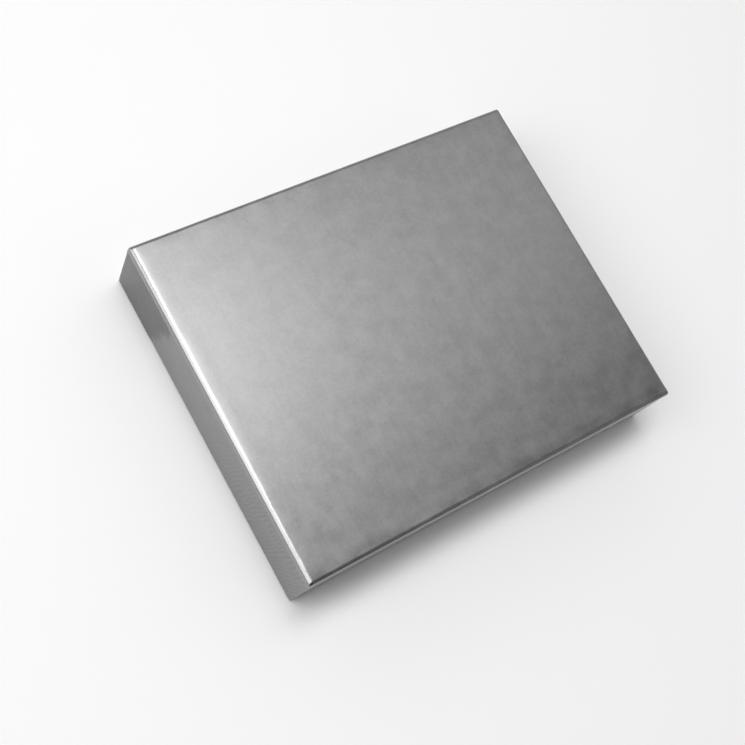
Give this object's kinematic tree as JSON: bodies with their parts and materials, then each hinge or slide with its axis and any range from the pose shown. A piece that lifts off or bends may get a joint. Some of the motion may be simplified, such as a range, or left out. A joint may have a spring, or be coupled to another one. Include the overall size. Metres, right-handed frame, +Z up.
{
  "type": "gift box with wallet",
  "caption": "Shallow rigid gift box wrapped in silver metallised paper, with a full-depth lift-off lid, holding a folded leather wallet.",
  "frame": {"origin": "middle of the box's footprint, on the surface that it stands on", "axes": "+X along the long side, with the wallet's spine at -X; +Y from the front side to the back side; +Z up, the way the lid lifts"},
  "size_m": [0.134, 0.108, 0.023],
  "materials": {
    "silver_paper": "metallised silver, satin",
    "greyboard": "matt",
    "liner_paper": "matt white",
    "stay_paper": "matt brown kraft",
    "brown_leather": "fine grain, satin",
    "lining_cloth": "plain weave, matt",
    "shield_foil": "satin foil",
    "clear_sheet": "clear, glossy",
    "brass": "polished",
    "thread": "waxed thread"
  },
  "bodies": {
    "base": {"base_board": "greyboard", "base_corner_stay_back_left": "stay_paper", "base_corner_stay_back_right": "stay_paper", "base_corner_stay_front_left": "stay_paper", "base_corner_stay_front_right": "stay_paper", "base_liner": "liner_paper", "base_wrap": "silver_paper", "card_panel": "brown_leather", "card_slot_1": "brown_leather", "card_slot_2": "brown_leather", "coin_flap": "brown_leather", "coin_panel": "brown_leather", "coin_pouch": "brown_leather", "id_window": "clear_sheet", "id_window_frame": "brown_leather", "snap_cap": "brass", "snap_post": "brass", "snap_socket": "brass", "snap_stud": "brass", "wallet_cover": "brown_leather", "wallet_lining": "lining_cloth", "wallet_rfid_shield": "shield_foil", "wallet_seam_back": "thread", "wallet_seam_front": "thread"},
    "lid": {"lid_board": "greyboard", "lid_corner_stay_back_left": "stay_paper", "lid_corner_stay_back_right": "stay_paper", "lid_corner_stay_front_left": "stay_paper", "lid_corner_stay_front_right": "stay_paper", "lid_liner": "liner_paper", "lid_wrap": "silver_paper"}
  },
  "joints": [
    {"name": "lid_lift", "type": "slide", "parent": "base", "child": "lid", "axis": [0, 0, 1], "range_m": [0, 0.08]}
  ]
}
